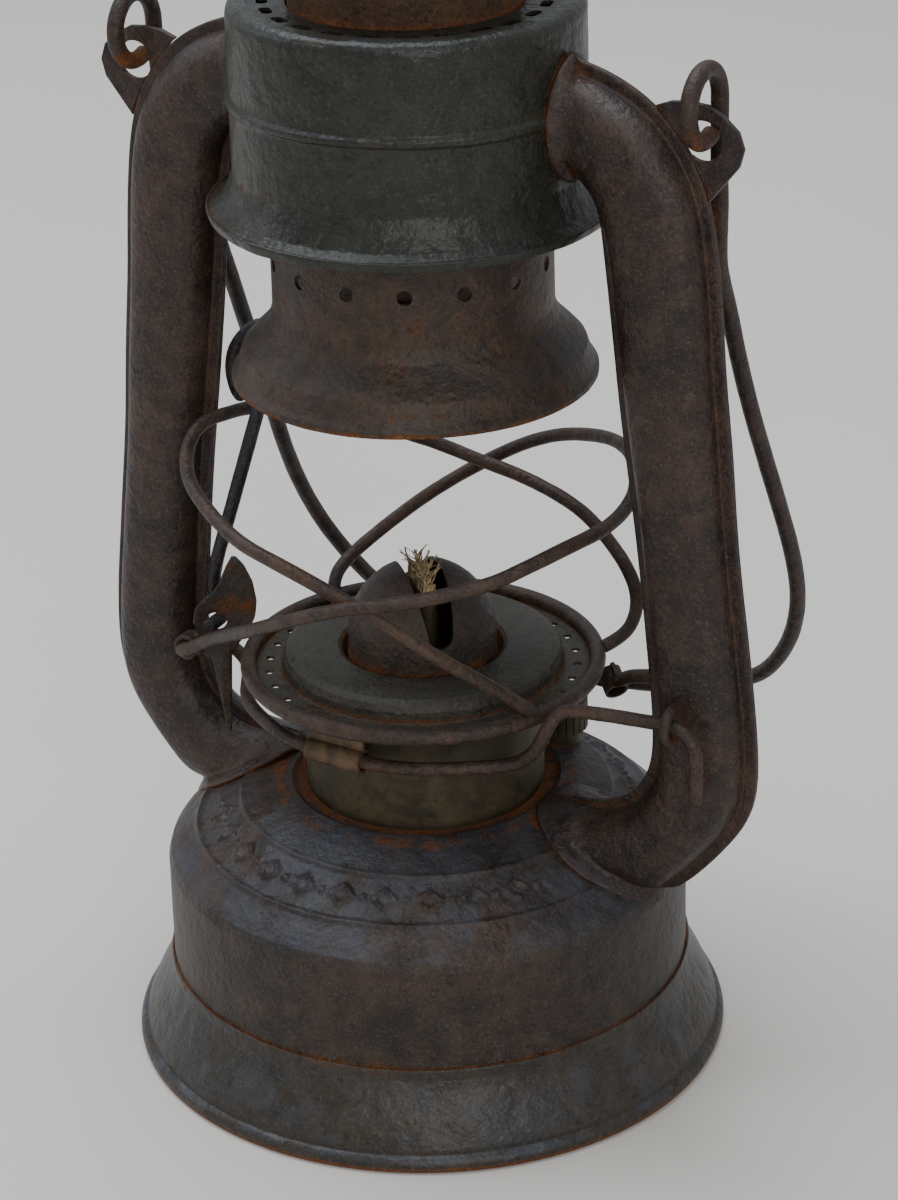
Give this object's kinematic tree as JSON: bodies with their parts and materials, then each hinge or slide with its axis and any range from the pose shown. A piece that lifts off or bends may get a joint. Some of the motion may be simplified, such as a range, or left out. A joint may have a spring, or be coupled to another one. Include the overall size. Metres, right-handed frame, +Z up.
{
  "type": "hanging hurricane lantern",
  "caption": "Small wick hurricane lantern with round fount, side air tubes, vented hood, lifting chimney, tilting globe carrier with guard wires and wire bail.",
  "frame": {"origin": "centre of the foot's flat rolled rim, on the surface that the lantern stands on", "axes": "+Z up through the burner and chimney, +X through the side tube whose staples hinge the globe carrier, +Y towards the side where the bail hangs"},
  "size_m": [0.1506, 0.1364, 0.2544],
  "materials": {
    "fount_steel": "aged and rusted, satin",
    "foot_steel": "aged grey-green, satin",
    "base_steel": "dull rust",
    "tube_steel": "aged and rusted, satin",
    "hood_steel": "aged dark green-grey, satin",
    "chimney_steel": "smoked and rusted, satin",
    "flue_steel": "dull orange rust",
    "cap_steel": "dull rust",
    "plate_steel": "dull dark grey",
    "cone_steel": "dull heat-browned",
    "wire_steel": "rusted wire, satin",
    "rod_steel": "dark worn wire",
    "bail_steel": "rusted wire, satin",
    "lever_steel": "worn sheet with rust",
    "spring_steel": "dull",
    "spindle_steel": "dull",
    "burner_brass": "darkened, satin",
    "clip_brass": "tarnished",
    "wick_cotton": "woven, charred at the top",
    "gasket_rubber": "dull"
  },
  "bodies": {
    "lantern": {"tank_shell": "fount_steel", "tank_foot": "foot_steel", "tank_bottom": "base_steel", "burner_collar": "burner_brass", "filler_neck": "burner_brass", "burner_cup": "burner_brass", "burner_deck": "plate_steel", "burner_cone": "cone_steel", "wick_tube": "burner_brass", "spindle_sleeve": "burner_brass", "tube_right_front": "tube_steel", "tube_right_rear": "tube_steel", "tube_left_front": "tube_steel", "tube_left_rear": "tube_steel", "bail_ears": "tube_steel", "wire_staples": "wire_steel", "shoe_rivets": "fount_steel", "hood_shell": "hood_steel", "hood_top": "hood_steel", "chimney_spring": "spring_steel"},
    "filler_cap": {"filler_cap": "burner_brass", "filler_gasket": "gasket_rubber"},
    "wick_knob": {"wick_spindle": "spindle_steel", "wick_knob": "burner_brass"},
    "wick": {"wick": "wick_cotton"},
    "globe_carrier": {"carrier_ring": "wire_steel", "globe_plate": "plate_steel", "guard_wire_a": "wire_steel", "guard_wire_b": "wire_steel", "rear_lift_wire": "wire_steel", "wire_clips": "clip_brass"},
    "lift_lever": {"lift_lever": "lever_steel"},
    "pull_rod": {"pull_rod": "rod_steel"},
    "chimney": {"chimney": "chimney_steel", "flue": "flue_steel", "top_cap": "cap_steel", "cap_eye": "wire_steel"},
    "top_ring": {"top_ring": "wire_steel"},
    "bail": {"bail": "bail_steel"}
  },
  "joints": [
    {"name": "bail_swing", "type": "hinge", "parent": "lantern", "child": "bail", "pos_m": [0, 0, 0.2098], "axis": [1, 0, 0], "range_deg": [-5, 200]},
    {"name": "chimney_lift", "type": "slide", "parent": "lantern", "child": "chimney", "axis": [0, 0, 1], "range_m": [0, 0.012], "stiffness_N_per_m": 80, "springref_m": -0.01, "deforming": ["chimney_spring"]},
    {"name": "top_ring_flip", "type": "hinge", "parent": "chimney", "child": "top_ring", "pos_m": [0, 0, 0.2513], "axis": [1, 0, 0], "range_deg": [0, 205]},
    {"name": "carrier_tilt", "type": "hinge", "parent": "lantern", "child": "globe_carrier", "pos_m": [0.062, 0, 0.0882], "axis": [0, 1, 0], "range_deg": [0, 5]},
    {"name": "lever_pivot", "type": "hinge", "parent": "globe_carrier", "child": "lift_lever", "pos_m": [-0.0505, -0.0103, 0.0807], "axis": [0, 1, 0], "range_deg": [0, 10]},
    {"name": "rod_pivot", "type": "hinge", "parent": "lift_lever", "child": "pull_rod", "pos_m": [-0.04558, -0.00723, 0.086], "axis": [0, 1, 0], "range_deg": [-16, 0]},
    {"name": "wick_knob_turn", "type": "hinge", "parent": "lantern", "child": "wick_knob", "pos_m": [0.00255, 0.00255, 0.066], "axis": [-0.7071, 0.7071, 0], "range_deg": [-138, 92]},
    {"name": "wick_slide", "type": "slide", "parent": "lantern", "child": "wick", "axis": [0, 0, 1], "range_m": [-0.006, 0.004]},
    {"name": "filler_cap_lift", "type": "slide", "parent": "lantern", "child": "filler_cap", "axis": [0, 0, 1], "range_m": [0, 0.005]}
  ],
  "couplings": [
    {"joint": "lever_pivot", "follows": "carrier_tilt", "ratio": 2},
    {"joint": "rod_pivot", "follows": "carrier_tilt", "ratio": -3.2},
    {"joint": "wick_knob_turn", "follows": "wick_slide", "rad_per_m": 400}
  ]
}
